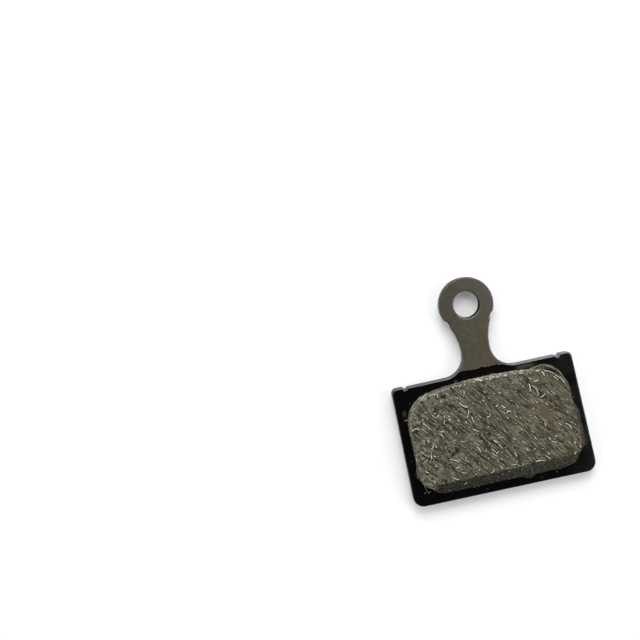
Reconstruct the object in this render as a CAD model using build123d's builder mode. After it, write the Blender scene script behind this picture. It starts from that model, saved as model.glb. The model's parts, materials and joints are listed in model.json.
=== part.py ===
from build123d import *

import os
from math import acos, cos, isclose, sin, sqrt

# Bicycle disc brake pad: a stamped steel backing plate, a thin bond coat and a moulded friction block.
# Millimetres. The pad lies on its back. +Z is up, out of the friction face. +Y runs from the plate's body along the
# neck to the eyelet. The origin is on the axis of the pin hole, on the plate's back face.

# Backing plate: its body, which widens slightly towards the lower edge
plate_thickness = 2.0
body_height = 19.7
body_width = 29.75
body_side_flare = 0.25
upper_corner_radius = 0.8
lower_corner_radius = 1.7

# Backing plate: the ear at each end of the upper edge, set apart by a punched nick
ear_width = 2.3
ear_rise = 0.1
nick_radius = 0.3

# Backing plate: the eyelet on its neck
pin_to_body = 11.1
pin_hole_diameter = 4.3
eyelet_wall = 2.27
neck_width = 4.56
neck_foot_radius = 3.6
shoulder_inset = 0.78

# Backing plate: the shallow relief where each shoulder of the neck meets the eyelet
relief_radius = 1.3
relief_depth = 0.22

# Backing plate: what the punch leaves round the front face, at the hole's rim and at the outline's small corners
edge_roll = 0.25
hole_rim_roll = 0.12
corner_land = 0.03

# Bond coat: the film on the flat of the front face, from the foot of the neck down
coat_thickness = 0.06
coat_above_body = 0.48

# Friction block: moulded with draft on its walls, an arched upper edge and a bevelled lower edge
block_thickness = 2.0
block_side_margin = 1.43
block_upper_margin = 0.9
block_lower_margin = 1.3
block_arch_radius = 70.0
block_upper_radius = 4.4
block_lower_radius = 4.0
block_draft = 5.0
bevel_width = 2.2
bevel_lip = 0.4
block_edge_radius = 0.12

# Places and sizes that follow from those
body_top = -pin_to_body
body_bottom = body_top - body_height
body_lower_width = body_width + 2 * body_side_flare
ear_top = body_top + ear_rise
nick_x = body_width / 2 - ear_width
punch_corner_radius = edge_roll + corner_land
eyelet_radius = pin_hole_diameter / 2 + eyelet_wall
shoulder_angle = acos((eyelet_radius - shoulder_inset) / eyelet_radius)
shoulder_end = (eyelet_radius * cos(shoulder_angle), -eyelet_radius * sin(shoulder_angle))
neck_waist = (neck_width / 2, body_top + neck_foot_radius)
neck_root = body_top - neck_foot_radius
relief_reach = eyelet_radius + relief_radius - relief_depth
relief_x = relief_reach * cos(shoulder_angle)
relief_y = -relief_reach * sin(shoulder_angle)
block_base = plate_thickness + coat_thickness
block_face = block_base + block_thickness
block_width = body_width - 2 * block_side_margin
block_crown = body_top - block_upper_margin
block_arch_drop = block_arch_radius - sqrt(block_arch_radius**2 - (block_width / 2) ** 2)
block_bottom = body_bottom + block_lower_margin
bevel_crease = block_bottom + bevel_width


def arc_ends(sketch, radius):
    """The end points of every arc of this radius in a sketch."""
    arcs = sketch.edges().filter_by(GeomType.CIRCLE)
    return arcs.filter_by(lambda arc: isclose(arc.radius, radius)).vertices()


os.makedirs("parts", exist_ok=True)

# The backing plate is one blanked outline: the body with its ears, the neck flaring out of it, and the eyelet.
with BuildPart() as backing_plate:
    with BuildSketch() as blank:
        with BuildLine() as body_edge:
            right_side = [
                (nick_x, body_top),
                (nick_x, ear_top),
                (body_width / 2, ear_top),
                (body_lower_width / 2, body_bottom),
            ]
            left_side = [(-x, y) for x, y in reversed(right_side)]
            Polyline(*right_side, *left_side, close=True)
        make_face()
        ear_corners = blank.vertices().group_by(Axis.Y)[-1].sort_by(Axis.X)
        fillet([ear_corners[0], ear_corners[-1]], upper_corner_radius)
        fillet(blank.vertices().group_by(Axis.Y)[0], lower_corner_radius)
        with Locations((-nick_x, body_top), (nick_x, body_top)):
            Circle(nick_radius, mode=Mode.SUBTRACT)
        fillet(arc_ends(blank, nick_radius), punch_corner_radius)

        # One side of the neck: from its waist up to the eyelet, and from its waist down into the body's upper edge.
        with BuildLine() as neck_edge:
            TangentArc(neck_waist, shoulder_end, tangent=(0, 1))
            foot = JernArc(neck_waist, (0, -1), neck_foot_radius, 90)
            foot_end = foot @ 1
            Line(shoulder_end, (0, 0))
            Polyline(foot_end, (foot_end.X, neck_root), (0, neck_root))
            mirror(about=Plane.YZ)
        make_face()
        Circle(eyelet_radius)
        with Locations((-relief_x, relief_y), (relief_x, relief_y)):
            Circle(relief_radius, mode=Mode.SUBTRACT)
        fillet(arc_ends(blank, relief_radius), punch_corner_radius)
    extrude(amount=plate_thickness)
    fillet(backing_plate.faces().sort_by(Axis.Z)[-1].edges(), edge_roll)
    with Locations((0, 0, plate_thickness)):
        Hole(pin_hole_diameter / 2)
    fillet(backing_plate.faces().sort_by(Axis.Z)[-1].inner_wires()[0].edges(), hole_rim_roll)
backing_plate.part.label = "backing_plate"
export_step(backing_plate.part, "parts/backing_plate.step")

# The bond coat lies on all of the flat front face below its border at the foot of the neck.
with BuildPart() as bond_coat:
    extrude(backing_plate.faces().sort_by(Axis.Z)[-1], amount=coat_thickness)
    split(bisect_by=Plane((0, body_top + coat_above_body, 0), z_dir=(0, 1, 0)), keep=Keep.BOTTOM)
bond_coat.part.label = "bond_coat"
export_step(bond_coat.part, "parts/bond_coat.step")

# The friction block is pressed in a drafted mould on the coat, and its lower edge is then bevelled straight across.
with BuildPart() as friction_block:
    with BuildSketch(Plane.XY.offset(block_base)) as block_foot:
        with BuildLine() as block_edge:
            right_end = (block_width / 2, block_crown - block_arch_drop)
            left_end = (-block_width / 2, block_crown - block_arch_drop)
            ThreePointArc(right_end, (0, block_crown), left_end)
            Polyline(left_end, (-block_width / 2, block_bottom), (block_width / 2, block_bottom), right_end)
        make_face()
        fillet(block_foot.vertices().group_by(Axis.Y)[-1], block_upper_radius)
        fillet(block_foot.vertices().group_by(Axis.Y)[0], block_lower_radius)
    extrude(amount=block_thickness, taper=block_draft)
    with BuildSketch(Plane.YZ) as bevel_cut:
        with BuildLine():
            Polyline(
                (bevel_crease, block_face),
                (block_bottom, block_base + bevel_lip),
                (block_bottom, block_face),
                close=True,
            )
        make_face()
    extrude(amount=block_width, both=True, mode=Mode.SUBTRACT)
    fillet(friction_block.faces().sort_by(Axis.Z)[-1].edges(), block_edge_radius)
friction_block.part.label = "friction_block"
export_step(friction_block.part, "parts/friction_block.step")

print("pin hole to lower edge", round(-body_bottom, 2), "overall height", round(eyelet_radius - body_bottom, 2))
for piece in (backing_plate, bond_coat, friction_block):
    print(piece.part.label, "volume", round(piece.part.volume, 2), "valid", piece.part.is_valid)
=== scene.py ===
# %% [markdown]
# # A bicycle disc brake pad
#
# The pad lies on its back on a white table, friction side up. CAD gives its three real pieces: a stamped
# steel plate, a thin black bond coat and a moulded friction block. This lesson keeps the plate's mesh and
# gives it a steel finish. It makes finer versions of the coat and the block, and adds the metal fibres
# and crumbs that CAD leaves out. All shapes are made in millimetres here, and each finished piece is
# scaled to Blender's metres.

# %% Load the solids
import json
import math
import random

import bmesh
import bpy
from mathutils import Matrix, Vector, noise
from mathutils.geometry import intersect_line_line
from mathutils.kdtree import KDTree


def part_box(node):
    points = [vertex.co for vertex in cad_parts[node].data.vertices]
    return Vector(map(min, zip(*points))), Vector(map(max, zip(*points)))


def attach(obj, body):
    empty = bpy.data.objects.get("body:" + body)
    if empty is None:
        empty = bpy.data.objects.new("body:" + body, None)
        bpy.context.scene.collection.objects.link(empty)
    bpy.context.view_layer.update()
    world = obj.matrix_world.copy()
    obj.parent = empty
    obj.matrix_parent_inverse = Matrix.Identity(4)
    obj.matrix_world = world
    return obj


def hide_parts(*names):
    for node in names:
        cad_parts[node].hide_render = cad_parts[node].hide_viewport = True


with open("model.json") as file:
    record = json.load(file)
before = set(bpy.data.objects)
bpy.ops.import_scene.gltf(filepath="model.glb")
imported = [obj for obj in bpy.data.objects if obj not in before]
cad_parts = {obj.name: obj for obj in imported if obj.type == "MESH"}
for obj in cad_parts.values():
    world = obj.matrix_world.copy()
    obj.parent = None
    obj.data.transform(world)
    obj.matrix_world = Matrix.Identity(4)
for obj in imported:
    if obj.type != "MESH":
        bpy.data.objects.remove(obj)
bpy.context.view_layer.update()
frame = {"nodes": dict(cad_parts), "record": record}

mm = 0.001
plate_low, plate_high = [corner / mm for corner in map(Vector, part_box("backing_plate"))]
coat_low, coat_high = [corner / mm for corner in map(Vector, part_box("bond_coat"))]
block_low, block_high = [corner / mm for corner in map(Vector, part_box("friction_block"))]
print("plate from", plate_low, "to", plate_high, "mm; block from", block_low, "to", block_high, "mm")

# %% [markdown]
# ## Camera
#
# The picture was taken from almost straight above, with the pad right of its middle and turned a little.
# A camera placed from three points does that: where it stands, the point of the table in the picture's
# middle, and which way on the table is up in the picture. The focal length is counted in pixels of a
# 640-pixel picture.

# %% Place the camera
picture_side = 640
focal_length_px = 1000
camera_spot = Vector((-19.9, 6.3, 164.2))
picture_middle = Vector((-23.71, 2.57, 0.0))
picture_up = Vector((0.2162, 0.9763, 0.0))

towards_camera = (camera_spot - picture_middle).normalized()
picture_right = picture_up.cross(towards_camera).normalized()
picture_top = towards_camera.cross(picture_right)

camera = bpy.data.objects.new("camera", bpy.data.cameras.new("camera"))
camera.data.sensor_width = 36
camera.data.lens = camera.data.sensor_width * focal_length_px / picture_side
camera.data.clip_start = 0.01
camera_turn = Matrix((picture_right, picture_top, towards_camera)).transposed()
camera.matrix_world = Matrix.Translation(camera_spot * mm) @ camera_turn.to_4x4()
bpy.context.collection.objects.link(camera)
bpy.context.scene.camera = camera
print("lens", camera.data.lens, "mm,", round(camera_spot.z), "mm above the table")


def seen_at(pixel, height):
    """The point at this height above the table that shows at a pixel of the picture."""
    across = pixel[0] - picture_side / 2
    down = pixel[1] - picture_side / 2
    ray = picture_right * across - picture_top * down - towards_camera * focal_length_px
    return camera_spot + ray * ((height - camera_spot.z) / ray.z)


# %% [markdown]
# ## Node helpers
#
# Every finish below is a Principled shader with a few textures on it. Short helpers keep those readable:
# they add a node and fill its sockets, with a number or with another node's output, and they mix colours,
# stretch ranges, combine values and split vectors.

# %% Helpers for shader nodes


def fill(tree, node, sockets):
    """Fills a node's sockets with values or with links from other nodes."""
    for socket, value in dict(sockets).items():
        if isinstance(value, bpy.types.NodeSocket):
            tree.links.new(value, node.inputs[socket])
        else:
            node.inputs[socket].default_value = value


def add_node(tree, kind, sockets=(), **settings):
    """Adds a shader node, sets its properties and fills its sockets."""
    node = tree.nodes.new("ShaderNode" + kind)
    for setting, value in settings.items():
        setattr(node, setting, value)
    fill(tree, node, sockets)
    return node


def mix_colours(tree, factor, first, second, mode="MIX"):
    """The output of a colour mix, from the first colour at factor 0 to the second at factor 1."""
    mix = add_node(tree, "Mix", {0: factor, 6: first, 7: second}, data_type="RGBA", blend_type=mode)
    return mix.outputs[2]


def stretch(tree, value, low, high, to_low=0.0, to_high=1.0):
    """Maps a value from one range to another and clamps it there."""
    sockets = {"Value": value, "From Min": low, "From Max": high, "To Min": to_low, "To Max": to_high}
    return add_node(tree, "MapRange", sockets).outputs["Result"]


def combine(tree, operation, first, second):
    """The output of a sum, a product or another Math node of two values."""
    return add_node(tree, "Math", {0: first, 1: second}, operation=operation).outputs[0]


def split(tree, vector):
    """The X, Y and Z outputs of a vector."""
    return add_node(tree, "SeparateXYZ", {"Vector": vector}).outputs


def painted(tree, name):
    """The value that each point of the mesh keeps under this name."""
    return add_node(tree, "Attribute", attribute_name=name).outputs["Fac"]


def grey(value):
    """A neutral colour, linear, with alpha."""
    return (value, value, value, 1)


def new_finish(name):
    """A material, its node tree, its Principled shader and object coordinates in millimetres."""
    material = bpy.data.materials.new(name)
    material.use_nodes = True
    tree = material.node_tree
    shader = tree.nodes["Principled BSDF"]
    coordinates = add_node(tree, "TexCoord").outputs["Object"]
    spread = {"Vector": coordinates, "Scale": (1 / mm, 1 / mm, 1 / mm)}
    place = add_node(tree, "Mapping", spread).outputs["Vector"]
    return material, tree, shader, place


def noise_at(tree, place, scale, detail=2.0, roughness=0.5):
    """The grey output of a noise texture; the scale is in lumps per millimetre."""
    sockets = {"Vector": place, "Scale": scale, "Detail": detail, "Roughness": roughness}
    return add_node(tree, "TexNoise", sockets).outputs["Fac"]


def add_bump(tree, shader, height, depth, strength=1.0):
    """Tilts a shader's normals by a height texture; the depth is in millimetres."""
    bump = add_node(tree, "Bump", {"Height": height, "Distance": depth * mm, "Strength": strength})
    fill(tree, shader, {"Normal": bump.outputs["Normal"]})


# %% [markdown]
# ## Table and light
#
# The table is a plain white sheet with the pad's soft shadow on it. Most of the light is a softbox beyond
# the top of the picture, and a weaker one stands at the right, so shadows fall to the left and below. The
# sky is white near the horizon and dark overhead, as a studio's ceiling is: that keeps the glossy black
# coat black from above. The sheet glows a little for the camera, more with distance, and so meets the
# white horizon without a grey band.

# %% Floor
floor_side = 2000
floor_gap = 0.01
floor_colour = 0.93
floor_glow = 0.15

sheet = bmesh.new()
bmesh.ops.create_grid(sheet, x_segments=1, y_segments=1, size=floor_side * mm / 2)
floor = bpy.data.objects.new("floor", bpy.data.meshes.new("floor"))
sheet.to_mesh(floor.data)
sheet.free()
floor.location.z = -floor_gap * mm
bpy.context.collection.objects.link(floor)

white, tree, shader, place = new_finish("white_table")
fill(tree, shader, {"Base Color": grey(floor_colour), "Roughness": 0.9, "Specular IOR Level": 0.0})
path = add_node(tree, "LightPath")
seen = combine(tree, "ADD", path.outputs["Is Camera Ray"], path.outputs["Is Glossy Ray"])
seen = combine(tree, "ADD", seen, path.outputs["Is Transmission Ray"])
far = add_node(tree, "VectorMath", {0: place}, operation="LENGTH").outputs["Value"]
glow = stretch(tree, far, 150, 600, floor_glow, 1.0)
glow = combine(tree, "MULTIPLY", seen, glow)
fill(tree, shader, {"Emission Color": grey(1.0), "Emission Strength": glow})
floor.data.materials.append(white)
print("floor", floor_side, "mm square")

# %% Sky and lamps
horizon_light = 1.0
overhead_light = 0.025
sky = bpy.data.worlds.new("studio")
sky.use_nodes = True
bpy.context.scene.world = sky
tree = sky.node_tree
direction = add_node(tree, "TexCoord").outputs["Generated"]
rise = split(tree, direction)["Z"]
level = stretch(tree, rise, 0.2, 0.75, horizon_light, overhead_light)
fill(tree, tree.nodes["Background"], {"Color": grey(1.0), "Strength": level})


def add_softbox(name, from_right, from_top, height, across, watts):
    """A round soft lamp aimed at the pad; its place is given along the picture's own directions, in mm."""
    lamp = bpy.data.objects.new(name, bpy.data.lights.new(name, "AREA"))
    lamp.data.shape = "DISK"
    lamp.data.size = across * mm
    lamp.data.energy = watts
    pad_middle = Vector((0, -18, 0))
    spot = pad_middle + picture_right * from_right + picture_top * from_top
    spot.z = height
    lamp.location = spot * mm
    lamp.rotation_euler = (spot - pad_middle).to_track_quat("Z", "Y").to_euler()
    lamp.visible_camera = False
    bpy.context.collection.objects.link(lamp)


add_softbox("top_softbox", -30, 380, 360, 420, 2.3)
add_softbox("right_softbox", 370, 40, 300, 280, 0.62)
add_softbox("left_softbox", -370, 40, 300, 280, 0.42)
bpy.context.scene.view_settings.view_transform = "Standard"
print("sky and", len(bpy.data.lights), "softboxes")

# %% [markdown]
# ## Steel plate
#
# The plate is blanked from strip and tumbled, which leaves a dull satin grey with faint warm and cool
# stains, a little darker on the neck and greyer on the eyelet. Its cut walls carry fine upright streaks
# from the punch and are painted dark as shade, and its rolled edges are painted darker too. Along the
# body the coat leaves the roll and wall bare, a cool grey that is painted darker towards the left as
# shade. The hole's wall is painted black as shade, and a painted highlight lies on its lower rim. The
# CAD mesh already has all those shapes, so only its finish is made here: noise for stains and satin, and
# masks from the normal and from the distance to the hole's axis.

# %% Finish the plate
plate_steel, tree, shader, place = new_finish("plate_steel")
warm_steel = (0.193, 0.169, 0.112, 1)
cool_steel = (0.183, 0.170, 0.131, 1)
rust_tint = (0.194, 0.148, 0.108, 1)
stains = stretch(tree, noise_at(tree, place, 0.25, 2), 0.35, 0.65)
tint = stretch(tree, noise_at(tree, place, 0.4, 2), 0.56, 0.78, 0.0, 0.3)
satin = noise_at(tree, place, 11, 3, 0.6)
colour = mix_colours(tree, stains, cool_steel, warm_steel)
colour = mix_colours(tree, tint, colour, rust_tint)
colour = mix_colours(tree, 0.15, colour, stretch(tree, satin, 0.3, 0.7, 0.5, 1.3), "MULTIPLY")
print("stains and satin take", len(tree.nodes), "nodes")

# %% [markdown]
# Masks tell the plate's regions apart. The normal separates cut walls and rolled edges from the flat, and
# the place on the plate separates the neck, the eyelet and the body.

# %% Colour the edges, the neck and the eyelet
normal = add_node(tree, "NewGeometry").outputs["Normal"]
facing = split(tree, normal)
parts = split(tree, place)
steepness = add_node(tree, "Math", {0: facing["Z"]}, operation="ABSOLUTE").outputs[0]
upright = stretch(tree, steepness, 0.1, 0.5, 1.0, 0.0)
rolled = stretch(tree, steepness, 0.9, 0.985, 1.0, 0.0)
on_neck = stretch(tree, parts["Y"], -10.0, -7.0, 0.0, 0.75)
colour = mix_colours(tree, on_neck, colour, (0.159, 0.143, 0.095, 1))
on_eyelet = stretch(tree, parts["Y"], -4.5, 1.0, 0.0, 0.75)
eyelet_side = stretch(tree, parts["X"], -3, 3)
eyelet_grey = mix_colours(tree, eyelet_side, (0.128, 0.116, 0.094, 1), (0.169, 0.158, 0.145, 1))
colour = mix_colours(tree, on_eyelet, colour, eyelet_grey)
# Painted shade: the rolled edges are painted darker than the flat.
colour = mix_colours(tree, rolled, colour, (0.085, 0.085, 0.083, 1))
# Painted shade: the cut walls are painted dark, over fine upright streaks from the punch.
thin_upright = add_node(tree, "Mapping", {"Vector": place, "Scale": (7, 7, 0.5)}).outputs["Vector"]
streaks = noise_at(tree, thin_upright, 1.0, 3, 0.6)
cut_wall_with_shade = mix_colours(tree, stretch(tree, streaks, 0.35, 0.7), grey(0.10), grey(0.03))
colour = mix_colours(tree, upright, colour, cut_wall_with_shade)
# Along the body the bare roll and wall are cool grey, painted darker towards the left as shade.
rightwards = stretch(tree, parts["X"], -13, 9)
bare_wall_with_shade = mix_colours(tree, rightwards, (0.04, 0.04, 0.045, 1), (0.15, 0.15, 0.16, 1))
bare_roll_with_shade = mix_colours(tree, rightwards, (0.09, 0.095, 0.10, 1), (0.16, 0.16, 0.175, 1))
bare_edge_with_shade = mix_colours(tree, upright, bare_roll_with_shade, bare_wall_with_shade)
on_body = stretch(tree, parts["Y"], -8.0, -10.0)
body_edge = combine(tree, "MULTIPLY", on_body, rolled)
colour = mix_colours(tree, body_edge, colour, bare_edge_with_shade)
print("edges, neck and eyelet bring it to", len(tree.nodes), "nodes")

# %% [markdown]
# The hole is masked by the distance from its axis, and its radius comes from the record. Both circles lie a
# little lower than the hole, where the picture shows its dark edge and the light arc below it.

# %% Paint shade in the hole and a highlight on its rim
pin_bore = next(mount for mount in frame["record"]["mounts"] if mount["name"] == "pin_bore")
hole_radius = pin_bore["dims"]["r_mm"]


def from_axis(aside):
    """The level distance from an upright line that lies this far below the hole's axis."""
    level = {"Vector": place, "Location": (0, aside, 0), "Scale": (1, 1, 0)}
    moved = add_node(tree, "Mapping", level).outputs["Vector"]
    return add_node(tree, "VectorMath", {0: moved}, operation="LENGTH").outputs["Value"]


in_hole = stretch(tree, from_axis(0.13), hole_radius - 0.02, hole_radius + 0.02, 1.0, 0.0)
# Painted highlight: a light arc on the hole's lower rim.
ring = stretch(tree, from_axis(0.16), hole_radius + 0.13, hole_radius + 0.18, 1.0, 0.0)
lower_rim = stretch(tree, parts["Y"], -1.2, -1.8)
rim_highlight = combine(tree, "MULTIPLY", ring, lower_rim)
colour = mix_colours(tree, rim_highlight, colour, (0.38, 0.375, 0.34, 1))
# Painted shade: the hole's wall is painted nearly black.
colour = mix_colours(tree, in_hole, colour, (0.042, 0.041, 0.038, 1))
fill(tree, shader, {"Base Color": colour, "Metallic": 1.0})

edge_tint = mix_colours(tree, upright, grey(0.25), grey(1.0))
fill(tree, shader, {"Specular Tint": mix_colours(tree, in_hole, edge_tint, grey(0.0))})
roughness = stretch(tree, noise_at(tree, place, 1.6, 3), 0.3, 0.7, 0.44, 0.52)
fill(tree, shader, {"Roughness": mix_colours(tree, in_hole, roughness, grey(0.8))})
grain = mix_colours(tree, upright, satin, streaks)
add_bump(tree, shader, grain, 0.02, 0.25)

plate = frame["nodes"]["backing_plate"]
plate.data.materials.clear()
plate.data.materials.append(plate_steel)
print("plate finished with", len(tree.nodes), "nodes")

# %% [markdown]
# ## Bond coat
#
# The black coat is sprayed on the front before the block is pressed on. It creeps over the rolled edge at
# the sides and below, stops short of it along the top, and ends in a ragged line across the foot of the
# neck. A copy of the plate's own skin is cut to that area, its free border is broken up with noise, and
# the skin is then given thickness.

# %% Make the coat's film


def copy_in_mm(node):
    """A merged copy of a CAD solid's mesh, in millimetres."""
    shape = bmesh.new()
    shape.from_mesh(frame["nodes"][node].data)
    bmesh.ops.scale(shape, vec=Vector((1, 1, 1)) / mm, verts=shape.verts)
    bmesh.ops.remove_doubles(shape, verts=shape.verts, dist=0.002)
    shape.normal_update()
    return shape


def finished_piece(name, shape, material, sharp_degrees=180):
    """Scales a shape to metres and makes it a smooth piece that goes with the pad."""
    bmesh.ops.recalc_face_normals(shape, faces=shape.faces)
    bmesh.ops.scale(shape, vec=Vector((1, 1, 1)) * mm, verts=shape.verts)
    mesh = bpy.data.meshes.new(name)
    shape.to_mesh(mesh)
    shape.free()
    mesh.materials.append(material)
    mesh.shade_smooth()
    mesh.set_sharp_from_angle(angle=math.radians(sharp_degrees))
    piece = bpy.data.objects.new(name, mesh)
    bpy.context.collection.objects.link(piece)
    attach(piece, "root")
    print(name, "has", len(mesh.polygons), "faces")
    return piece


film_thickness = coat_high.z - coat_low.z
neck_border_y = coat_high.y
body_top_y = neck_border_y - 0.48
bare_corner = 1.0
least_upward = 0.08
flat_upward = 0.999
upper_part_y = body_top_y - bare_corner

film = copy_in_mm("backing_plate")
bare = [face for face in film.faces if face.normal.z < least_upward]
for face in film.faces:
    on_roll = face.normal.z < flat_upward
    if on_roll and face.calc_center_median().y > upper_part_y:
        bare.append(face)
bmesh.ops.delete(film, geom=list(set(bare)), context="FACES")
everything = film.verts[:] + film.edges[:] + film.faces[:]
border = {"plane_co": (0, neck_border_y, 0), "plane_no": (0, 1, 0)}
bmesh.ops.bisect_plane(film, geom=everything, clear_outer=True, **border)

border_step = 0.15
border_wander = 0.22
neck_wander = 0.55
upper_border = [edge for edge in film.edges if edge.is_boundary and edge.verts[0].co.y > upper_part_y]
for edge in upper_border:
    cuts = int(edge.calc_length() / border_step)
    if cuts > 0:
        bmesh.ops.subdivide_edges(film, edges=[edge], cuts=cuts)
for vert in film.verts:
    if vert.is_boundary and vert.co.y > upper_part_y:
        broad = noise.noise(vert.co * 0.8)
        fine = noise.noise(vert.co * 3.1)
        if vert.co.y > neck_border_y - 0.05:
            vert.co.y += neck_wander * (0.6 * broad + 0.4 * fine)
        else:
            vert.co.y += border_wander * min(0.6 * broad + 0.4 * fine, 0)

film.normal_update()
for vert in film.verts:
    vert.normal_update()
lifted = bmesh.ops.extrude_face_region(film, geom=film.faces[:], use_keep_orig=True)
for vert in lifted["geom"]:
    if isinstance(vert, bmesh.types.BMVert):
        vert.co += vert.normal * film_thickness * max(vert.normal.z, 0) ** 2
print("film spans", min(v.co.y for v in film.verts), "to", max(v.co.y for v in film.verts), "mm")

# %% [markdown]
# The coat is thin glossy enamel: nearly black, with a slight orange peel. Beside the block's right side
# it is lighter and duller: dust and a painted reflection together. Dust also dulls it in a few smears,
# and fine specks lie all over it.

# %% Finish the film
smears_px = [
    ((586.0, 438.0), 0.5, 1.9, 0.5),
    ((404.5, 414.0), 0.45, 0.7, 1.0),
    ((416.5, 475.0), 0.4, 0.9, 1.0),
    ((526.0, 365.8), 2.2, 0.55, 1.9),
]


def near_spot(tree, place, spot, across, along, core=0.2):
    """1 in the core of an oval of these half sizes around a spot, fading to 0 at its edge."""
    oval = {"Vector": place, "Location": spot, "Scale": (across, along, 99)}
    moved = add_node(tree, "Mapping", oval, vector_type="TEXTURE").outputs["Vector"]
    distance = add_node(tree, "VectorMath", {0: moved}, operation="LENGTH").outputs["Value"]
    return stretch(tree, distance, core, 1.0, 1.0, 0.0)


black_coat, tree, shader, place = new_finish("black_coat")
parts = split(tree, place)
# Lighter beside the block's right side: dust together with a painted reflection.
beside = stretch(tree, parts["X"], 8, 14.2, 0.0, 0.3)
cloud = stretch(tree, noise_at(tree, place, 0.35, 4, 0.6), 0.3, 0.8)
dust_and_sheen = combine(tree, "MULTIPLY", beside, cloud)
speck = stretch(tree, noise_at(tree, place, 6, 2), 0.72, 0.80, 0.0, 0.12)
dust_and_sheen = combine(tree, "MAXIMUM", dust_and_sheen, speck)
for pixel, across, along, strength in smears_px:
    smear = near_spot(tree, place, seen_at(pixel, coat_high.z), across, along)
    patchy = stretch(tree, cloud, 0, 0.6, 0, strength)
    dust_and_sheen = combine(tree, "ADD", dust_and_sheen, combine(tree, "MULTIPLY", smear, patchy))
colour = mix_colours(tree, dust_and_sheen, (0.0015, 0.0016, 0.0016, 1), (0.038, 0.038, 0.032, 1))
dulled = stretch(tree, dust_and_sheen, 0.0, 1.0, 0.24, 0.5)
fill(tree, shader, {"Base Color": colour, "Roughness": dulled, "Specular IOR Level": 0.35})
add_bump(tree, shader, noise_at(tree, place, 1.3, 2), 0.03, 0.3)
coat = finished_piece("bond_film", film, black_coat, 40)
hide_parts("bond_coat")

# %% [markdown]
# ## Where the fibres lie
#
# Short steel fibres are mixed into the compound, and the face shows the ones that lie in it. The plainest
# ones are placed where the picture shows them, by the pixels of their two ends and, for a bent one, of
# its bend. The rest are scattered from a fixed seed, most of them along the direction in which the face
# was rubbed. A few strands lie loose on the coat and on the broken corner. They are listed before the
# block is made, because the compound sinks a little along each of them, into a bed that is painted dark
# just below the fibre as its shadow.

# %% Shape of the block's outline
bevel_width = 2.2
bevel_lip = 0.4
arch_radius = 70.0
upper_radius = 4.4
lower_radius = 4.0
wall_slope = math.tan(math.radians(5))
crease_chip = 0.22
crumble = 0.12
crumble_runs_x = [(-6, -2), (2, 6), (10.6, 12.6)]
ledge_height = 0.9
ledge_edge = 0.5
ledge_start_x = (7.2, 9.7)
ledge_turn = (0.4, 1.15)
half_width = block_high.x
fibre_rise = 0.055
face_z = block_high.z - fibre_rise
crease_y = block_low.y + bevel_width
bevel_slope = (block_high.z - block_low.z - bevel_lip) / bevel_width
arch_y = block_high.y - arch_radius
upper_x = half_width - upper_radius
upper_y = arch_y + math.sqrt((arch_radius - upper_radius) ** 2 - upper_x**2)
lower_x = half_width - lower_radius
lower_y = block_low.y + lower_radius


def rim_distance(x, y):
    """How far a point lies inside the outline of the block's foot; below 0 is outside it."""
    if abs(x) > upper_x and y > upper_y:
        return upper_radius - math.hypot(abs(x) - upper_x, y - upper_y)
    if abs(x) > lower_x and y < lower_y:
        return lower_radius - math.hypot(abs(x) - lower_x, y - lower_y)
    return min(half_width - abs(x), arch_radius - math.hypot(x, y - arch_y), y - block_low.y)


def smooth_step(low, high, value):
    """0 below the low end, 1 above the high end and a smooth rise between them."""
    t = min(max((value - low) / (high - low), 0), 1)
    return t * t * (3 - 2 * t)


def ledge_share(x, y):
    """1 in the middle of the broken upper right corner, 0 away from it."""
    if y < upper_y - 1:
        return 0
    if x < upper_x:
        return smooth_step(*ledge_start_x, x) * smooth_step(-4, -1, y - block_high.y)
    return smooth_step(*ledge_turn, math.atan2(y - upper_y, x - upper_x))


def crease_at(x):
    """The y of the bevel's crease, which has crumbled inwards, more and more to the right."""
    steps = sum(smooth_step(start, end, x) for start, end in crumble_runs_x)
    return crease_y + crumble * steps


def crumbled_at(x, y):
    """The share of the block's height that is lost there."""
    return max(crease_at(x) - max(y, crease_y), 0) * bevel_slope / (block_high.z - block_low.z)


def chip_at(x, y):
    """How much has chipped off along the crease of the bevel."""
    chip = crease_chip * max(noise.noise(Vector((x * 0.9, 3.7, 0))) + 0.15, 0)
    return chip * smooth_step(0.55, 0.1, abs(y - crease_at(x)))


def block_top(x, y):
    """The height of the block's face, or of its bevel below the crease."""
    level = face_z - max(crease_y - y, 0) * bevel_slope - chip_at(x, y)
    return level - crumbled_at(x, y) * (level - block_low.z)


print("face at height", round(face_z, 3), "mm, crease at y", round(crease_y, 3), "mm")

# %% [markdown]
# The outline isn't quite even: in a few round swells the wall stands out or draws in. With them, a pixel of
# the picture can be followed down to the point of the block that shows there.

# %% Swells, and the point that a pixel shows


def near_spots(spot, bulges):
    """The reach of all these bulges together at a point."""
    total = 0
    for middle, reach, radius in bulges:
        away = (spot.xy - middle).length / radius
        total += reach * math.exp(-(away**2))
    return total


def at_foot(bulges_px):
    """Bulges placed by the pixels at which the block's foot shows."""
    return [(seen_at(pixel, block_low.z).xy, reach, radius) for pixel, reach, radius in bulges_px]


swells_px = [
    ((411.0, 405.0), -0.27, 2.6),
    ((460.0, 381.0), 0.06, 3.5),
    ((490.0, 374.0), 0.04, 2.0),
    ((540.0, 366.0), 0.10, 1.5),
    ((571.0, 393.0), -0.22, 2.2),
    ((582.0, 445.0), -0.16, 2.0),
    ((579.5, 454.5), -0.27, 1.3),
]
swells = at_foot(swells_px)


def on_block(pixel):
    """The point on the block's face, bevel or wall that shows at a pixel."""
    spot = seen_at(pixel, face_z)
    for _ in range(4):
        spot = seen_at(pixel, block_top(spot.x, spot.y))
    while spot.z > block_low.z:
        inside = rim_distance(spot.x, spot.y) + near_spots(spot, swells)
        if inside > wall_slope * (spot.z - block_low.z):
            break
        spot = seen_at(pixel, spot.z - 0.05)
    return spot


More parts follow.
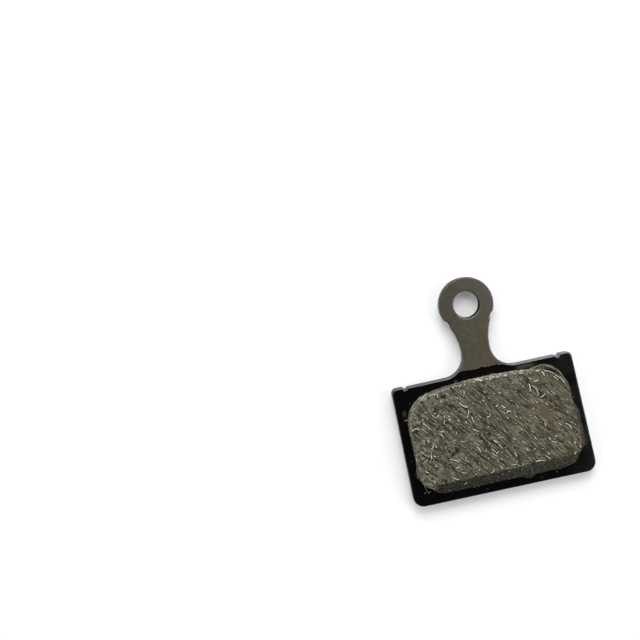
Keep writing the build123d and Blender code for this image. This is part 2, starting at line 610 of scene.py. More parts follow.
def outward_from_rim(x, y):
    """The level direction that leads out of the block's outline."""
    across = rim_distance(x - 0.05, y) - rim_distance(x + 0.05, y)
    upwards = rim_distance(x, y - 0.05) - rim_distance(x, y + 0.05)
    return Vector((across, upwards, 0)).normalized()


print(len(swells), "swells")

# %% Fibres seen in the picture
glints_px = [
    (431.3, 455.9, 431.6, 457.4, 431.5, 458.8), (464.3, 383.7, 464.9, 385.4),
    (489.5, 377.7, 490.5, 380.7), (535.3, 371.6, 540.5, 370.2),
    (541.4, 371.6, 543.4, 373.3, 544.3, 376.2), (521.2, 428.3, 521.4, 430.4), (555.3, 435.2, 557.3, 437),
    (434.1, 455.8, 435.7, 457), (476.5, 446.5, 481.1, 452.2), (514.2, 452.4, 516.8, 457),
    (459.1, 402.4, 463.2, 405.9, 468.2, 407.4), (495.8, 406.8, 498.2, 405.2),
]
bright_fibres_px = [
    (418, 399.7, 422.1, 396.1), (420.8, 399.2, 427.2, 393.6), (434.1, 396.4, 435.4, 394.4, 436.7, 397.8),
    (440.2, 399.7, 442.5, 402.8), (432, 415.3, 436.1, 418.1), (436.1, 418.3, 439.4, 414.5),
    (421.8, 421.6, 431.5, 430.3), (421.1, 428.5, 428, 433.6), (412.4, 431.8, 415.5, 429, 419.5, 430.6),
    (439.4, 430.6, 441.5, 432, 443.8, 430.6), (440.5, 433.6, 443.5, 438.7), (424.1, 439.7, 424.3, 445.2),
    (427.4, 439.7, 429.7, 443.6), (477.8, 377.4, 479.6, 379.6, 481.6, 378.9),
    (463.5, 389.9, 464.2, 393.5, 463.2, 396.5), (468.4, 409.8, 468.4, 414.4, 466.7, 418.6),
    (471.6, 416.4, 474.7, 423.6), (483.1, 391.2, 485.4, 393.5), (501.5, 405.2, 505.8, 407.8),
    (489.5, 412.9, 490, 415.5, 486.9, 416.9), (507.1, 413.4, 509.2, 411.1, 511.2, 412.3),
    (543.8, 370.9, 549, 371.3, 554.6, 374.1), (554.9, 374.8, 561, 379, 565.8, 384.4),
    (553.2, 376.4, 556, 378, 558.6, 380.8), (519.3, 371.8, 524.6, 370.9), (533.4, 381.3, 539.1, 379.3),
    (528.8, 383.6, 529.6, 392.2), (531.4, 385.3, 537, 390.4, 538.5, 396.3), (540.3, 397.7, 545.7, 392.8),
    (531.6, 399.1, 534.5, 403.1), (534.5, 399.1, 538.5, 403.1),
    (565.2, 423.5, 569.4, 425.2, 571.8, 429.9), (551.7, 441, 557.7, 442.2), (534.8, 436.7, 536.8, 439.6),
    (526.7, 447.6, 528.7, 451.1), (535.6, 461.7, 539.4, 460.6, 545.7, 460.9),
    (545.7, 455.1, 550.8, 459.1), (574.1, 441.3, 575.8, 444.8), (420.4, 451.8, 423.1, 454.3),
    (435, 446.3, 437, 447.6), (431.2, 452.8, 431.7, 456.8), (422.6, 447.3, 426, 452.2),
    (432.6, 443.3, 433.2, 446.5, 430.9, 449.4), (449.2, 459.4, 455, 460.4, 459.9, 462.6),
    (465.9, 457.1, 466.2, 460, 468.8, 462), (452.4, 477.2, 455.6, 478.9, 459.9, 479.2),
    (473.6, 441.9, 480.2, 445.3), (472.6, 429.2, 479.2, 431.8), (498.4, 444.1, 503, 449),
    (491.5, 448.7, 495.8, 452.1), (499.9, 465.6, 503, 468.8), (521.7, 441.2, 526.5, 445),
    (513.1, 437.8, 516.5, 440.1), (511.3, 465.6, 517.1, 464.5), (498.7, 392, 501.1, 393.7),
    (528.6, 377.7, 531.2, 379.8), (482, 400.4, 484.8, 402), (479.6, 401.6, 481, 403),
    (477.9, 414.2, 482, 417.8), (503, 411.6, 504.9, 414), (513.5, 411.1, 515.9, 414),
    (533.9, 416.2, 536.5, 418.8), (520.2, 373.3, 524, 372.9), (525.5, 373.3, 527.9, 374.8),
    (434, 392.4, 438.2, 391.8), (424.5, 412.5, 427, 413.2), (433.6, 413.2, 435.9, 413.8),
    (426.6, 416.1, 427.8, 419.8), (422.4, 419, 423.7, 421), (444.8, 415.2, 444.8, 419),
    (445.8, 420.4, 444.4, 421.5, 445, 424.8), (448.1, 416.5, 450.6, 416.5), (448.5, 419.8, 451, 419.6),
    (457.2, 420.2, 459.7, 422.3), (465.1, 421.5, 467.2, 423.5), (497.3, 434.8, 500.1, 434.1),
    (493.9, 440.1, 498.2, 442.5), (498.7, 451.4, 495.8, 453.7), (492.5, 452.8, 497.3, 456.1),
    (497.5, 459, 498.9, 462.6), (501.1, 458.3, 503.5, 459.7), (515.9, 429.3, 519.3, 431.5),
    (516.2, 461.2, 517.8, 462.4), (545.7, 402.8, 547.5, 405.3), (558.7, 423.1, 561.8, 425.8),
    (545, 422.7, 546.2, 426.7), (548.8, 437.2, 550.4, 440.1), (574.3, 454.4, 576.5, 451.7),
    (547.9, 452.6, 549.3, 454.8), (455.8, 468.4, 459.8, 467.3), (435.3, 466.9, 437.3, 466.5),
    (425.8, 471.6, 429, 472.8), (433.3, 481.4, 435.2, 484), (480.5, 468.4, 478.6, 470.8),
    (493.4, 468.9, 493.5, 471.6, 491, 472.5),
]
dim_fibres_px = [
    (579.2, 445, 581.4, 448.1), (559.5, 375.8, 563.5, 380.4, 566.4, 386.2), (558.3, 447.6, 565.8, 452.8),
    (428.9, 462.6, 431.2, 459.1), (432.9, 460.3, 444.9, 467.1), (478.3, 459.3, 485.5, 462.8),
    (515.9, 404.4, 518.8, 409.2), (488.4, 401.1, 492.5, 404.4), (478.1, 405.4, 479.6, 407.8),
    (519.7, 393, 527.4, 400.6), (471, 387.7, 476.2, 391, 481, 396.8), (436.5, 404, 437.7, 405.7),
    (424.5, 402, 426.6, 403.6), (428.2, 409.4, 431.9, 411.9), (439.8, 424.6, 436, 427.6, 433.2, 432),
    (474.8, 424.1, 482.9, 428.9), (493, 424.1, 495.4, 426.5), (531.2, 431.3, 534.1, 432.7),
    (537, 434.1, 540.3, 436.5), (535, 454.2, 540.3, 456.1), (532.7, 457.6, 535.5, 460),
    (523.6, 456.6, 525.5, 458.5), (552.9, 412.9, 557.8, 415.5), (563.6, 404.4, 574.3, 409.7),
    (560, 398.6, 563.1, 399.9), (536.8, 434.7, 539.9, 436.5), (427.4, 484.2, 433.3, 485.6),
    (427.2, 485, 432.9, 485.9), (428.5, 487.6, 435.7, 490.6), (432.5, 469, 435.2, 475),
    (410.4, 433.2, 411, 435.4, 412.5, 437.5), (490.6, 374.3, 495.8, 374.1), (490.6, 377.2, 497.7, 376.2),
    (510.7, 465.5, 513.5, 464.6), (522.9, 468.4, 521.4, 470.8), (416.3, 457.4, 419, 465.3),
    (419.4, 466, 421.4, 473.2),
]
strands_on_coat_px = [
    (424.2, 485.2, 425.9, 488.9, 428.2, 493), (428.4, 493.2, 431.2, 491.6), (425, 493.6, 425.6, 492.6),
    (405, 421, 408.6, 420.5), (416.2, 471, 417.4, 478), (473.6, 487.8, 475.2, 487.2),
    (478, 486.9, 479.3, 486.3),
]
strands_on_ledge_px = [
    (545.8, 365.5, 551.2, 367.3, 556.8, 369.6), (556.8, 369.6, 561.4, 374, 566, 382),
]
specks_px = [
    (481.9, 386.0), (490.0, 393.4), (506.8, 392.6), (515.2, 391.6), (516.2, 388.4), (512.3, 383.2),
    (523.3, 386.7), (510.7, 400.6), (485.8, 404.0), (494.4, 400.6), (516.4, 416.4), (507.8, 417.8),
    (533.6, 408.7), (533.9, 413.3), (530.7, 373.3), (446.5, 388.7), (455.2, 386.0), (422.0, 405.3),
    (440.2, 411.9), (453.1, 414.8), (451.0, 413.2), (447.5, 411.9), (457.4, 398.2), (459.6, 399.3),
    (461.4, 424.6), (473.8, 434.6), (477.7, 434.1), (474.1, 437.5), (475.5, 454.7), (479.1, 456.1),
    (485.5, 456.9), (488.7, 458.5), (479.1, 463.3), (500.6, 437.5), (498.2, 438.0), (522.6, 425.3),
    (510.7, 424.1), (504.9, 431.3), (551.3, 409.5), (575.2, 424.5), (574.7, 427.1), (576.3, 434.5),
    (578.3, 433.4), (560.7, 444.3), (438.2, 456.4), (429.5, 469.4), (447.5, 464.9), (464.5, 466.9),
    (473.8, 468.6), (527.4, 463.6), (523.1, 465.3), (419.9, 468.6), (508.3, 418.3), (515.4, 420.3),
    (520.7, 417.9), (502.0, 458.8), (465.0, 463.7), (440.4, 464.5),
]

rng = random.Random(11)


def bend_between(start, end, share):
    """The middle of a slightly bent fibre; its sag is a share of its length."""
    along = end - start
    sideways = Vector((-along.y, along.x, 0))
    return (start + end) / 2 + sideways * share


def pixels_of(row):
    """The pixels of a row of numbers: x and y of the first, x and y of the next, and so on."""
    return list(zip(row[0::2], row[1::2]))


def fibre_from(row):
    """Start, middle and end of a fibre on the block that shows at two or three pixels."""
    spots = [on_block(pixel) for pixel in pixels_of(row)]
    if len(spots) == 2:
        spots.insert(1, bend_between(spots[0], spots[1], rng.uniform(-0.12, 0.12)))
    return spots


fibres = []
for row in glints_px:
    fibres.append((fibre_from(row), rng.uniform(1.2, 1.5)))
for row in bright_fibres_px:
    fibres.append((fibre_from(row), rng.uniform(0.75, 1.0)))
for row in dim_fibres_px:
    fibres.append((fibre_from(row), rng.uniform(0.36, 0.52)))
coat_strands = (strands_on_coat_px, coat_high.z, 0.45)
ledge_strands = (strands_on_ledge_px, block_low.z + ledge_height, 0.6)
for strands_px, height, dullest in (coat_strands, ledge_strands):
    for row in strands_px:
        spots = [seen_at(pixel, height + 0.03) for pixel in pixels_of(row)]
        if len(spots) == 2:
            spots.insert(1, bend_between(spots[0], spots[1], 0.1))
        fibres.append((spots, rng.uniform(dullest, dullest + 0.2)))
print(len(fibres), "fibres placed from the picture")

# %% Specks, pits and plain spots
rubbed_heading = math.radians(-52)


def step(heading, length):
    """A level step of this length."""
    return Vector((math.cos(heading), math.sin(heading), 0)) * length


def fibre_path(x, y, heading, length, turn):
    """Start, middle and end of a fibre that lies on the block and turns by this angle along its length."""
    start = Vector((x, y, 0)) - step(heading, length / 2)
    middle = start + step(heading + turn / 4, length / 2)
    end = middle + step(heading + turn * 3 / 4, length / 2)
    for spot in (start, middle, end):
        spot.z = block_top(spot.x, spot.y)
    return [start, middle, end]


for pixel in specks_px:
    spot = on_block(pixel)
    speck = fibre_path(spot.x, spot.y, rng.uniform(0, math.pi), rng.uniform(0.14, 0.24), 0.1)
    fibres.append((speck, rng.uniform(0.6, 1.0)))

pits_px = [
    (443.4, 396.4, 0.55), (457.2, 451.4, 0.60), (453.8, 454.2, 0.50), (459.3, 449.4, 0.30),
    (450.2, 452.0, 0.30), (430.6, 489.8, 0.40), (433.6, 491.6, 0.35), (436.1, 410.3, 0.45),
    (428.8, 399.1, 0.35), (422.4, 403.2, 0.35), (458.5, 400.3, 0.25), (436.5, 468.4, 0.30),
    (427.4, 474.4, 0.35), (432.9, 479.5, 0.30), (489.1, 434.6, 0.35), (560.4, 418.7, 0.30),
    (556.4, 420.4, 0.25), (494.9, 481.3, 0.25), (534.1, 463.6, 0.30), (419.9, 475.6, 0.35),
    (442.0, 485.8, 0.30), (563.6, 434.7, 0.25), (579.6, 447.2, 0.30),
]
plain_spots_px = [(545.0, 411.5, 1.25), (447.0, 474.0, 0.9), (564.0, 395.0, 0.7)]
plain_colours = [(0.102, 0.087, 0.056, 1), (0.084, 0.080, 0.058, 1), (0.087, 0.083, 0.055, 1)]
pits = [(on_block((x, y)), radius) for x, y, radius in pits_px]
plain_spots = [(on_block((x, y)), radius) for x, y, radius in plain_spots_px]


def is_free(x, y):
    """Whether a place lies outside all pits and plain spots, where no random mark goes."""
    return all(math.hypot(x - spot.x, y - spot.y) > radius + 0.15 for spot, radius in pits + plain_spots)


placed_spots = [spot for path, _ in fibres for spot in path]


def is_apart(x, y, reach):
    """Whether a place lies apart from the fibres that were listed."""
    return all(math.hypot(x - spot.x, y - spot.y) > reach for spot in placed_spots)


print(len(fibres), "fibres with the specks, and", len(pits), "pits")

# %% Scatter the other fibres
scattered_count = 340
rim_count = 80
bevel_share = 0.1
scattered = 0
while scattered < scattered_count:
    x = rng.uniform(-half_width, half_width)
    y = rng.uniform(block_low.y, block_high.y)
    if y < crease_y + 0.1 and rng.random() > bevel_share:
        continue
    length = 0.15 + rng.expovariate(3.5)
    inside = rim_distance(x, y) + near_spots(Vector((x, y, 0)), swells)
    if inside > 0.6 and is_free(x, y) and is_apart(x, y, 0.3 + length / 2):
        drawn_share = 0.5 if x < -5 else 0.85
        heading = rng.gauss(rubbed_heading, 0.2) if rng.random() < drawn_share else rng.uniform(0, math.pi)
        turn = rng.choice((-1, 1)) * rng.choice((0.05, 0.15, 0.4, 0.8))
        shine = rng.triangular(0.13, 0.75, 0.26) * (1.15 if x < 3 else 1.0)
        fibres.append((fibre_path(x, y, heading, length, turn), shine))
        scattered += 1

along_rim = 0
while along_rim < rim_count:
    x = rng.gauss(0.5, 3.2)
    y = rng.uniform(upper_y - 1, block_high.y)
    inside = rim_distance(x, y)
    if 0.02 < inside < 0.45 and ledge_share(x, y) < 0.2:
        outward = outward_from_rim(x, y)
        heading = math.atan2(outward.y, outward.x) + math.pi / 2 + rng.gauss(0, 0.25)
        path = fibre_path(x, y, heading, rng.uniform(0.2, 0.6), rng.uniform(-0.6, 0.6))
        swell = outward * near_spots(Vector((x, y, 0)), swells)
        on_wall = min(block_low.z + inside / wall_slope, face_z)
        path = [Vector((spot.x, spot.y, on_wall)) + swell for spot in path]
        fibres.append((path, rng.uniform(0.4, 0.95)))
        along_rim += 1
print(len(fibres), "fibres in all")

# %% [markdown]
# ## Friction block
#
# The block is a powder of resin, minerals and fibres, pressed hot in a drafted mould. Its face is rubbed
# flat but pitted and scratched, and its bevel and walls are rougher. It has its flaws: an upper corner
# broken down to a ledge, a lower corner cut off, a crumbled crease, a skirt of flash along the right foot
# and a tongue of it below. The CAD block is rebuilt as an even fine mesh with the Remesh modifier, so
# that each of its points can move a little: by noise, by those flaws, by pits and scratches, and beside
# each fibre. How much painted shade a point takes, how much it was rubbed and how much it lies on the
# rim, which is worn and carries a painted highlight, are kept as attributes.

# %% Rebuild the block as a fine mesh
block_grid = 0.09

solid = copy_in_mm("friction_block")
coarse = bpy.data.meshes.new("coarse_block")
solid.to_mesh(coarse)
solid.free()
coarse_block = bpy.data.objects.new("coarse_block", coarse)
bpy.context.collection.objects.link(coarse_block)
remesh = coarse_block.modifiers.new("even_grid", "REMESH")
remesh.mode = "VOXEL"
remesh.voxel_size = block_grid
bpy.context.view_layer.update()
even = bpy.data.meshes.new_from_object(coarse_block.evaluated_get(bpy.context.evaluated_depsgraph_get()))
bpy.data.objects.remove(coarse_block)

block = bmesh.new()
block.from_mesh(even)
block.normal_update()
underside = [face for face in block.faces if face.normal.z < -0.9]
underside = [face for face in underside if face.calc_center_median().z < block_low.z + 0.2]
bmesh.ops.delete(block, geom=underside, context="FACES")
bmesh.ops.holes_fill(block, edges=[edge for edge in block.edges if edge.is_boundary])
block.normal_update()
print("fine block has", len(block.verts), "points")

# %% Pits, scratches and fibre beds
# Each dent sinks the surface a little, and its darkness is painted shade in the recess.
dents = []


def add_groove(start, end, radius, depth, darkness):
    """A row of dents that together make a groove."""
    count = max(int((end - start).length / 0.07), 2)
    for i in range(count):
        dents.append((start.lerp(end, i / (count - 1)), radius, depth, darkness))


# Each fibre's bed lies a little below it in the picture, and its darkness is a painted shadow.
bed_radius = 0.2
bed_depth = 0.04
small_pit_count = 220
scratch_count = 640
below = -picture_top * 0.07
below.z = 0
for (start, middle, end), shine in fibres:
    darkness = min(0.52 + 0.36 * shine, 0.85)
    radius = min(0.12 + 0.07 * (end - start).length, bed_radius)
    add_groove(start + below, middle + below, radius, bed_depth, darkness)
    add_groove(middle + below, end + below, radius, bed_depth, darkness)

grooves_px = [
    (481, 429.3, 490.1, 435.1), (484.5, 431.8, 490.1, 435.1), (479.6, 434.6, 493.4, 442.7),
    (502.5, 432.2, 511.1, 438.4), (502.5, 443.7, 508.3, 448), (518.3, 390.6, 528.4, 399.2),
    (486.3, 423.1, 489.1, 426), (577.9, 437.9, 578.8, 440.5), (458.7, 416, 461, 421.2),
    (503.6, 418, 510, 422.5), (478.6, 448.8, 485.5, 453.6), (449.5, 424.5, 457, 430.5),
    (520.5, 440.5, 535, 451), (496.8, 428.9, 501.6, 431.7), (547, 430.3, 550.6, 430.7),
]
for row in grooves_px:
    start, end = [on_block(pixel) for pixel in pixels_of(row)]
    add_groove(start, end, 0.13, 0.10, 0.8)
for spot, radius in pits:
    for _ in range(5):
        aside = step(rng.uniform(0, 2 * math.pi), rng.uniform(0.15, 0.6) * radius)
        dents.append((spot + aside, rng.uniform(0.5, 0.8) * radius, 0.25 * radius, 0.6 + 0.6 * radius))
for _ in range(small_pit_count):
    x = rng.uniform(-half_width, half_width)
    y = rng.uniform(block_low.y, block_high.y)
    spot = Vector((x, y, block_top(x, y)))
    if is_free(x, y):
        dents.append((spot, rng.uniform(0.1, 0.22), rng.uniform(0.03, 0.08), rng.uniform(0.3, 0.8)))
for _ in range(scratch_count):
    x = rng.uniform(-half_width, half_width)
    y = rng.uniform(crease_y, block_high.y)
    start = Vector((x, y, face_z))
    end = start + step(rng.gauss(rubbed_heading, 0.12), 0.5 + rng.expovariate(1.0))
    if is_free(x, y) and is_free(end.x, end.y):
        add_groove(start, end, rng.uniform(0.09, 0.14), rng.uniform(0.02, 0.07), rng.uniform(0.4, 1.0))

largest_dent = 0.65
dent_tree = KDTree(len(dents))
for i, dent in enumerate(dents):
    dent_tree.insert(dent[0], i)
dent_tree.balance()
print(len(dents), "dents")


def dented(spot):
    """How deep the deepest dent is at a point of the block, and how much painted shade the darkest one
    gives.
    """
    deepest = 0
    darkest = 0
    ragged = 1 + 0.45 * noise.noise(spot * 4)
    for _, i, distance in dent_tree.find_range(spot, largest_dent):
        _, radius, depth, darkness = dents[i]
        distance *= ragged
        if distance < radius:
            share = 1 - (distance / radius) ** 3
            deepest = max(deepest, depth * share)
            darkest = max(darkest, darkness * share)
    return deepest, darkest


# %% Flaws of the block
ledge_bulge = 0.52
foot_flare = 0.15
lower_pull = 0.26
skirt_reach = 0.72
skirt_upper_end = (-18.2, -21.0)
skirt_lower_end = (-27.3, -26.2)
flashes_px = [((417.2, 474.0), 0.3, 1.1), ((580.5, 420.0), -0.22, 0.8)]
tongues_px = [((525.6, 475.0), 0.42, 0.45), ((529.6, 474.2), 0.58, 0.5), ((533.2, 473.2), 0.4, 0.4)]
flashes = at_foot(flashes_px)
tongues = at_foot(tongues_px)
corner_cut_px = [(423.4, 484.4), (436.0, 491.0)]
cut_start, cut_end = [seen_at(pixel, block_low.z + bevel_lip).xy for pixel in corner_cut_px]
cut_outward = Vector((cut_end - cut_start).orthogonal()).normalized()
if cut_outward.dot(cut_start) < 0:
    cut_outward = -cut_outward
print(len(flashes), "flashes and", len(tongues), "tongues")

# %% [markdown]
# Each point of the fine mesh is moved once. First the outline shifts, then the surface sinks, and the broken
# corner falls to its ledge last. Three values are kept on each point for the finish.

# %% Sculpt the block
wall_roughness = 0.09
bevel_roughness = 0.13
face_roughness = 0.014

painted_shade = block.verts.layers.float.new("painted_shade")
rim = block.verts.layers.float.new("rim")
rubbed = block.verts.layers.float.new("rubbed")
for vert in block.verts:
    spot = vert.co.copy()
    height = spot.z - block_low.z
    inside = rim_distance(spot.x, spot.y)
    outward = outward_from_rim(spot.x, spot.y)
    shift = near_spots(spot, swells) * smooth_step(2.4, 0.2, inside)
    shift -= lower_pull * smooth_step(block_low.y + 0.7, block_low.y + 0.2, spot.y)
    vert.co += outward * shift
    beyond = cut_outward.dot(vert.co.xy - cut_start)
    if spot.x < -lower_radius and spot.y < lower_y and beyond > 0:
        vert.co -= (cut_outward * beyond).to_3d()
    share = ledge_share(spot.x, spot.y)
    lumps = 0.6 * noise.noise(spot * 1.7) + 0.4 * noise.noise(spot * 4.1)
    flare = ledge_bulge * share * (1 + 0.5 * lumps) * smooth_step(1.3, 0.9, height)
    uneven = max(noise.noise(Vector((spot.x, spot.y, 0)) * 0.45), 0)
    flare += foot_flare * uneven * smooth_step(0.6, 0.0, height)
    flash = near_spots(spot, flashes) * smooth_step(1.4, 0.5, height)
    tongue = near_spots(spot, tongues) * smooth_step(1.0, 0.5, height)
    skirt = smooth_step(half_width - 0.6, half_width - 0.3, spot.x) * smooth_step(0.7, 0.25, height)
    skirt *= smooth_step(*skirt_upper_end, spot.y) * smooth_step(*skirt_lower_end, spot.y)
    flare += flash + tongue * (1 + lumps) + skirt * (skirt_reach + 0.16 * lumps)
    if inside < 0.6:
        vert.co += outward * flare
    if height < 0.03:
        continue

    upward = smooth_step(0.3, 0.8, vert.normal.z)
    crease = crease_at(spot.x)
    on_face = upward * smooth_step(crease - 0.25, crease - 0.05, spot.y)
    rough = wall_roughness + (bevel_roughness - wall_roughness) * upward
    rough += (face_roughness - rough) * on_face
    sink = rough * (0.5 * upward + lumps)
    dent, darkness = dented(Vector((vert.co.x, vert.co.y, block_top(vert.co.x, vert.co.y))))
    dent *= upward
    vert.co -= vert.normal * sink
    vert.co.z -= dent + fibre_rise * on_face + chip_at(spot.x, spot.y) * upward
    vert.co.z -= crumbled_at(spot.x, spot.y) * height

    notch = ledge_edge * smooth_step(8.6, 11.4, spot.x)
    fallen = min(2 * share, 1) * smooth_step(notch + 0.06, notch - 0.06, inside)
    ledge_top = block_low.z + ledge_height * (1 + 0.1 * lumps)
    if vert.co.z > ledge_top:
        vert.co.z += (ledge_top - vert.co.z) * fallen

    # Painted shade kept on each point: beside the ledge's step and wall, in dents, along the skirt and the
    # tongues at the foot, and where the surface sank most.
    step_shade = share * max(1.3 - abs(inside - 0.3) / 0.25, 0) * smooth_step(0.5, 0.8, height)
    step_shade *= 0.45 + 0.55 * smooth_step(upper_x + 0.6, upper_x + 1.6, spot.x)
    wall_shade = 0.35 * share * (1 - upward) * smooth_step(ledge_height + 0.1, ledge_height - 0.1, height)
    dent_shade = darkness * upward * (1 - fallen)
    shade = max(dent_shade, step_shade, wall_shade, 0.45 * skirt, min(tongue, 0.5))
    vert[painted_shade] = min(shade + max(sink - face_roughness, 0) * 4, 1)
    # The face's rim is lighter, partly from wear and partly as a painted highlight, strongest at the upper
    # left.
    rim_light = smooth_step(11.6, 10.2, spot.x) * (1 - 0.65 * smooth_step(-6, -3, spot.x))
    rim_light *= 1 - 0.7 * smooth_step(-17, -19, spot.y)
    vert[rim] = on_face * smooth_step(0.48, 0.34, inside) * (1 - fallen) * rim_light
    frayed = upward * smooth_step(-10.6, -11.4, spot.x)
    frayed *= smooth_step(crease_y - 1.0, crease_y - 0.6, spot.y)
    on_ledge = share * smooth_step(0.4, 0.7, height) * smooth_step(notch + 0.1, notch, inside)
    on_ledge *= 0.7 - 0.6 * smooth_step(upper_x + 0.6, upper_x + 1.4, spot.x)
    lip = 0.12 * upward * smooth_step(block_low.y + 0.8, block_low.y + 0.4, spot.y)
    lip *= 1 - min(3 * tongue, 1)
    smoothed = max(on_face * (1 - fallen), frayed, on_ledge)
    vert[rubbed] = max(smoothed, min(flash, 0.3), 0.12 * skirt, lip)
print("deepest hollow", round(max(vert[painted_shade] for vert in block.verts), 2))

# %% [markdown]
# The compound's colour is olive grey with lighter and browner patches, darker rubbed streaks, pale
# mineral specks and painted shade in its hollows. Each of those is one texture, mixed over the last. The
# painted shade, the rubbed areas and the worn, highlighted rim come from the attributes made above.

# %% Finish the block
friction_compound, tree, shader, place = new_finish("friction_compound")
olive = (0.152, 0.145, 0.101, 1)
dark_olive = (0.085, 0.080, 0.055, 1)
brown = (0.125, 0.102, 0.066, 1)
pale = (0.30, 0.29, 0.235, 1)
deep = (0.003, 0.0025, 0.0015, 1)
green_dark = (0.035, 0.040, 0.029, 1)
brown_dark = (0.047, 0.041, 0.031, 1)
wall_olive = (0.125, 0.119, 0.090, 1)
right_wall = (0.050, 0.049, 0.040, 1)
lower_wall_shade = (0.02, 0.02, 0.016, 1)
worn_rim_highlight = (0.36, 0.35, 0.28, 1)
patches = stretch(tree, noise_at(tree, place, 0.9, 5, 0.7), 0.32, 0.62)
brownness = stretch(tree, noise_at(tree, place, 0.3, 3), 0.54, 0.74, 0.0, 0.6)
turned = add_node(tree, "Mapping", {"Vector": place, "Rotation": (0, 0, -rubbed_heading)}).outputs["Vector"]
along = add_node(tree, "Mapping", {"Vector": turned, "Scale": (0.55, 6.5, 1)}).outputs["Vector"]
streaks = noise_at(tree, along, 1.0, 3, 0.6)
fine = noise_at(tree, place, 4.5, 3, 0.6)
face_colour = mix_colours(tree, patches, dark_olive, olive)
across = split(tree, place)["X"]
browner = stretch(tree, across, 4, 10, 0.0, 0.35)
brownness = combine(tree, "MAXIMUM", brownness, browner)
face_colour = mix_colours(tree, brownness, face_colour, brown)
right_part = stretch(tree, across, -9, -2, 0.2, 1.0)
streaks = mix_colours(tree, right_part, noise_at(tree, place, 1.9, 4, 0.6), streaks)
streaked = stretch(tree, streaks, 0.35, 0.65, 0.2, 1.85)
face_colour = mix_colours(tree, 1.0, face_colour, streaked, "MULTIPLY")
ripple = add_node(tree, "TexNoise", {"Vector": place, "Scale": 0.9, "Detail": 3}).outputs["Color"]
ripple = add_node(tree, "VectorMath", {0: ripple, 1: (0.5, 0.5, 0.5)}, operation="SUBTRACT")
wavy = {0: ripple.outputs["Vector"], 1: (1.6, 1.6, 0.0), 2: place}
wavy = add_node(tree, "VectorMath", wavy, operation="MULTIPLY_ADD").outputs["Vector"]
for (spot, radius), plain_colour in zip(plain_spots, plain_colours):
    plain = near_spot(tree, wavy, spot, radius, radius, 0.6)
    face_colour = mix_colours(tree, plain, face_colour, plain_colour)
mottled = stretch(tree, noise_at(tree, place, 0.55, 3), 0.42, 0.58)
# The bevel and broken surfaces are darker: partly their own rough compound and partly painted shade.
broken_colour_and_shade = mix_colours(tree, mottled, green_dark, brown_dark)
lumps = stretch(tree, noise_at(tree, place, 2.8, 5, 0.85), 0.41, 0.59, 0.25, 1.95)
lumps = mix_colours(tree, 1.0, lumps, stretch(tree, across, -6, 4, 0.9, 1.3), "MULTIPLY")
broken_colour_and_shade = mix_colours(tree, 1.0, broken_colour_and_shade, lumps, "MULTIPLY")
print("face and broken surface take", len(tree.nodes), "nodes")

# %% Join the face, the bevel and the walls
on_face = painted(tree, "rubbed")
colour = mix_colours(tree, on_face, broken_colour_and_shade, face_colour)
normal = add_node(tree, "NewGeometry").outputs["Normal"]
facing = split(tree, normal)
# Walls that face right are darker, and walls that face -y, away from the main light, get painted shade.
wall_colour = mix_colours(tree, stretch(tree, facing["X"], 0.2, 0.7), wall_olive, right_wall)
wall_colour = mix_colours(tree, stretch(tree, facing["Y"], -0.2, -0.6), wall_colour, lower_wall_shade)
wall_colour = mix_colours(tree, 1.0, wall_colour, lumps, "MULTIPLY")
colour = mix_colours(tree, stretch(tree, facing["Z"], 0.3, 0.6, 1.0, 0.0), colour, wall_colour)
colour = mix_colours(tree, 0.45, colour, stretch(tree, fine, 0.3, 0.7, 0.5, 1.5), "MULTIPLY")
specks = add_node(tree, "TexVoronoi", {"Vector": place, "Scale": 2.6})
few = add_node(tree, "SeparateColor", {"Color": specks.outputs["Color"]}).outputs["Red"]
chosen = stretch(tree, few, 0.86, 0.87)
near = stretch(tree, specks.outputs["Distance"], 0.08, 0.18, 1.0, 0.0)
speckled = combine(tree, "MULTIPLY", chosen, near)
colour = mix_colours(tree, speckled, colour, pale)
# The rim is lighter: wear together with a painted highlight.
edge = painted(tree, "rim")
wear_and_highlight = combine(tree, "MULTIPLY", edge, stretch(tree, fine, 0.35, 0.6))
colour = mix_colours(tree, wear_and_highlight, colour, worn_rim_highlight)
# Painted shade kept on each point darkens the colour towards near black.
sunk = painted(tree, "painted_shade")
colour = mix_colours(tree, stretch(tree, sunk, 0.05, 1.0, 0.0, 0.95), colour, deep)
fill(tree, shader, {"Base Color": colour, "Roughness": 0.75, "Specular IOR Level": 0.08})
add_bump(tree, shader, fine, 0.05, 0.4)
compound = finished_piece("moulded_compound", block, friction_compound)
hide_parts("friction_block")

# %% [markdown]
# ## Metal fibres
#
# A fibre is a chip of steel wool: a flat little wire, bent in an arc, with broken ends. Spinning a small
# six-sided ring about the arc's centre makes it, the ends are closed, and their rings are shrunk to half.
# All fibres are one piece, and each keeps its brightness as an attribute: some are rubbed shiny, others
# are stained by the resin, and the brightest carry a painted highlight in their colour. A few last strands
# lie on top of the compound, with no bed in it.

# %% Spin the fibres


def arc_through(start, middle, end):
    """The centre, axis and angle of the arc that runs through three points."""
    first = middle - start
    second = end - middle
    axis = first.cross(second).normalized()
    one = (start + middle) / 2
    two = (middle + end) / 2
    centre = intersect_line_line(one, one + first.cross(axis), two, two + second.cross(axis))[0]
    a = start - centre
    b = end - centre
    angle = math.atan2(axis.dot(a.cross(b)), a.dot(b)) % (2 * math.pi)
    return centre, axis, angle


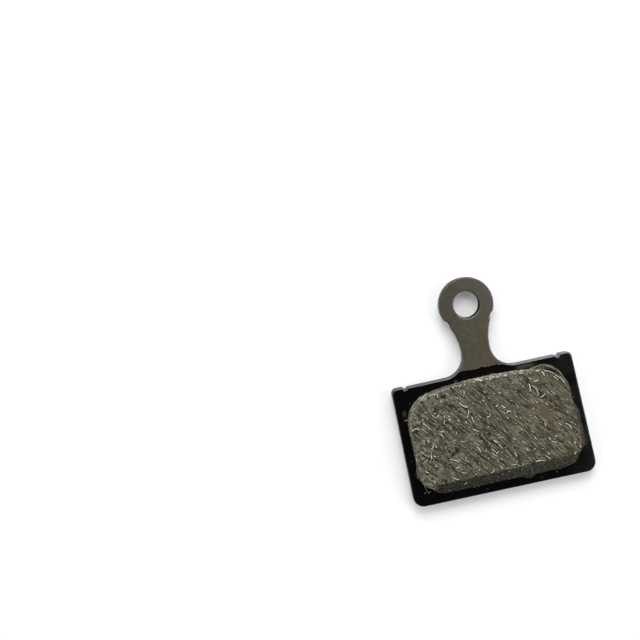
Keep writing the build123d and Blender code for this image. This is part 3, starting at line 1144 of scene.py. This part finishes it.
def spin_fibre(path, half_wide, half_high, shine):
    """The mesh of one fibre, spun along its arc, with closed and tapered ends; it keeps its brightness."""
    shape = bmesh.new()
    centre, axis, angle = arc_through(*path)
    outward = (path[0] - centre).normalized()
    tangent = axis.cross(outward)
    section = Matrix((outward * half_wide, axis * half_high, tangent)).transposed().to_4x4()
    section.translation = path[0]
    ring = bmesh.ops.create_circle(shape, cap_ends=False, segments=6, radius=1, matrix=section)["verts"]
    ring_edges = shape.edges[:]
    arc = {"cent": centre, "axis": axis, "angle": angle, "steps": 4 + int(angle * 2)}
    spun = bmesh.ops.spin(shape, geom=ring_edges, **arc)["geom_last"]
    last = [item for item in spun if isinstance(item, bmesh.types.BMVert)]
    last_edges = [item for item in spun if isinstance(item, bmesh.types.BMEdge)]
    for verts, edges in ((ring, ring_edges), (last, last_edges)):
        bmesh.ops.edgeloop_fill(shape, edges=edges)
        tip = sum((vert.co for vert in verts), Vector()) / len(verts)
        bmesh.ops.scale(shape, vec=(0.5, 0.5, 0.5), space=Matrix.Translation(-tip), verts=verts)
    brightness = shape.verts.layers.float.new("shine")
    for vert in shape.verts:
        vert[brightness] = shine
    mesh = bpy.data.meshes.new("fibre")
    shape.to_mesh(mesh)
    shape.free()
    return mesh


fibre_metal, tree, shader, place = new_finish("fibre_metal")
wear_and_highlight = stretch(tree, noise_at(tree, place, 1.4, 3), 0.35, 0.6, 0.55, 1.0)
shine = painted(tree, "shine")
level = add_node(tree, "Math", {0: wear_and_highlight, 1: shine}, operation="MULTIPLY", use_clamp=True).outputs[0]
# The fibres' light colour is partly their own steel and partly a painted highlight, brightest on the glints.
colour = mix_colours(tree, 1.0, (1.0, 0.95, 0.79, 1), level, "MULTIPLY")
fill(tree, shader, {"Base Color": colour, "Metallic": 0.3, "Roughness": 0.35})

strand_lift = 0.04
top_strands_px = [
    ([(418.1, 399.7), (419.6, 397.9), (421.2, 396.3)], 1.0),
    ([(420.3, 400.4), (423.7, 396.7), (427.1, 393.3)], 1.0),
    ([(410.9, 410.8), (413.2, 405.6), (416.4, 401.5)], 0.6),
    ([(423.1, 454.3), (427.0, 456.1), (430.4, 457.6)], 0.5),
    ([(427.9, 459.4), (425.6, 461.7), (423.1, 463.6)], 0.6),
    ([(579.9, 445.9), (580.4, 446.7), (580.9, 447.5)], 0.9),
]
for pixels, shine in top_strands_px:
    fibres.append(([on_block(pixel) + towards_camera * strand_lift for pixel in pixels], shine))

gathered = bmesh.new()
for path, shine in fibres:
    half_wide = rng.uniform(0.035, 0.05) + 0.025 * min(shine, 1)
    fibre = spin_fibre(path, half_wide, rng.uniform(0.04, 0.052), shine)
    gathered.from_mesh(fibre)
    bpy.data.meshes.remove(fibre)
for vert in gathered.verts:
    vert.co.z = min(vert.co.z, block_high.z)
finished_piece("metal_fibres", gathered, fibre_metal)

# %% [markdown]
# ## Crumbs
#
# A few crumbs of compound broke off its foot and stuck to the coat. Each is a small ball of twenty faces,
# squeezed and turned at random, and half sunk into the film.

# %% Scatter the crumbs
crumb_count = 40
shape = bmesh.new()
made = 0
while made < crumb_count:
    x = rng.uniform(-half_width - 1, half_width + 1)
    y = rng.uniform(block_low.y - 1, block_high.y + 0.5)
    if -0.75 < rim_distance(x, y) < -0.05:
        size = 0.025 + rng.expovariate(30)
        turn = Matrix.Rotation(rng.uniform(0, math.pi), 4, "Z")
        squeeze = Matrix.Diagonal((rng.uniform(0.7, 2.0), 1, 0.7, 1))
        spot = Matrix.Translation((x, y, coat_high.z))
        bmesh.ops.create_icosphere(shape, subdivisions=1, radius=size, matrix=spot @ turn @ squeeze)
        made += 1
finished_piece("crumbs", shape, friction_compound, 30)
